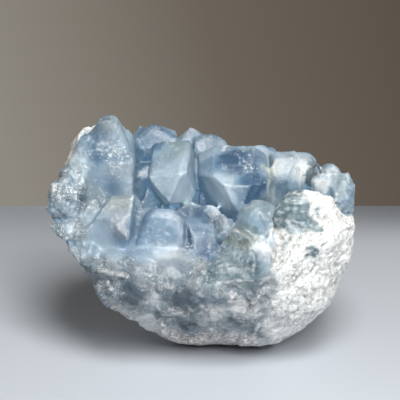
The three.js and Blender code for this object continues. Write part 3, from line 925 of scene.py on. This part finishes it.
# The colour of the painted shade in the crevices, also laid on the front underside.
CREVICE_SHADE_AND_UNDERSIDE = (0.10, 0.17, 0.24)

# White: worn edges in patches, sugary crowds, thin veils inside and fine glints.
not_rim = maths("SUBTRACT", 1.0, times(zone("rim"), 0.8))
ragged = times(maths("SUBTRACT", grain(700, 3, 0.7), 0.5), 0.45)
worn_edge = ramp(maths("ADD", zone("edge"), ragged), [(0.07, 0.0), (0.20, 0.75)])
worn_edge = times(worn_edge, ramp(grain(120, 3, 0.6), [(0.44, 0.15), (0.60, 1.0)]))
worn_edge = times(worn_edge, not_rim)
veil = maths("ABSOLUTE", maths("SUBTRACT", grain(120, 6, 0.66), 0.5))
veils = times(ramp(veil, [(0.003, 0.5), (0.014, 0.0)]), ramp(grain(90, 2), [(0.44, 0.0), (0.56, 1.0)]))
specks = ramp(grain(950, 4, 0.85), [(0.50, 0.0), (0.57, 1.0)])
sugar = ramp(maths("ADD", times(zone("frost"), 0.24), grain(190, 5, 0.75)), [(0.58, 0.0), (0.74, 1.0)])
sugar = times(sugar, specks, clamp=True)
# The glints are painted highlights: scattered white dots.
glints = ramp(grain(1250, 3, 0.85), [(0.59, 0.0), (0.63, 1.0)])
glints = times(glints, ramp(grain(75, 3), [(0.42, 0.0), (0.54, 1.0)]))
white = maths("MAXIMUM", maths("MAXIMUM", worn_edge, sugar), maths("MAXIMUM", veils, glints), clamp=True)

# The colour: the tint with clouds and mottles, darker where it is dull, on the rim and on the front
# underside, with painted shade in the crevices.
clouds = ramp(grain(85, 5, 0.55), [(0.38, 0.0), (0.66, 1.0)])
mottle = ramp(grain(310, 6, 0.72), [(0.46, 0.0), (0.66, 0.4)])
colour = blend(times(clouds, 0.28), zone("tint", "Color"), CLOUD)
colour = blend(mottle, colour, MILK)
dull_shade = ramp(grain(230, 6, 0.7), [(0.38, 0.28), (0.52, 0.52), (0.64, 1.0)])
colour = blend(zone("dull"), colour, blend(1.0, colour, dull_shade, "MULTIPLY"))
rim_tones = [(0.36, (0.13, 0.17, 0.20)), (0.5, (0.22, 0.25, 0.27)), (0.64, (0.47, 0.46, 0.45))]
rim_shade = ramp(grain(560, 5, 0.8), [(0.38, 0.45), (0.5, 0.9), (0.6, 1.0)])
rim_colour = blend(0.8, ramp(grain(130, 6, 0.65), rim_tones), rim_shade, "MULTIPLY")
colour = blend(times(zone("rim"), 0.85), colour, rim_colour)
colour = blend(times(zone("crevice_shade_and_underside"), 0.6), colour, CREVICE_SHADE_AND_UNDERSIDE)
# The white marks are laid on: worn edges, sugar and veils, and glints that are painted highlights.
colour = blend(white, colour, WEAR_AND_GLINT_WHITE)
tree.links.new(colour, shader.inputs["Base Color"])

# How much light goes through: less in clouds, in dull and milky parts and under the white.
clouded = times(clouds, maths("SUBTRACT", 1.0, times(zone("clear"), 0.8)))
clear = maths("ADD", 0.74, times(zone("clear"), 0.2))
clear = maths("SUBTRACT", clear, times(clouded, 0.22))
clear = maths("SUBTRACT", clear, times(maths("MAXIMUM", zone("dull"), zone("milky")), 0.36))
clear = maths("SUBTRACT", clear, times(white, 0.5), clamp=True)
tree.links.new(clear, shader.inputs["Transmission Weight"])
rough = maths("ADD", 0.28, times(white, 0.3))
rough = maths("ADD", rough, times(grain(60, 3, 0.5), 0.16))
rough = maths("ADD", rough, times(zone("dull"), 0.2))
tree.links.new(rough, shader.inputs["Roughness"])
shader.inputs["IOR"].default_value = 1.62
shader.inputs["Specular IOR Level"].default_value = 0.25
steps = grain(240, 4, 0.5, ((0.2, 0.1, 0.3), (1.0, 1.0, 0.22)))
crumbly = times(white, grain(1400, 3, 0.6))
tree.links.new(bumped(crumbly, 0.9, 0.3, bumped(steps, 0.2, 0.3)), shader.inputs["Normal"])

# The lamps' light goes into the crystals unbent, as each shadow ray is let through.
lamp_light = add("BsdfTransparent", {"Color": (0.80, 0.88, 0.94, 1)})
lamp_ray = add("LightPath").outputs["Is Shadow Ray"]
surface = add("MixShader", {0: lamp_ray, 1: shader.outputs["BSDF"], 2: lamp_light.outputs["BSDF"]})
output = tree.nodes["Material Output"]
tree.links.new(surface.outputs["Shader"], output.inputs["Surface"])
body = add("VolumeAbsorption", {"Color": (0.50, 0.66, 0.76, 1), "Density": 60.0})
tree.links.new(body.outputs["Volume"], output.inputs["Volume"])

crust_piece = new_piece("crystals", crust_bm, crystal)
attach(crust_piece, "root")
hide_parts("crystal_crust")
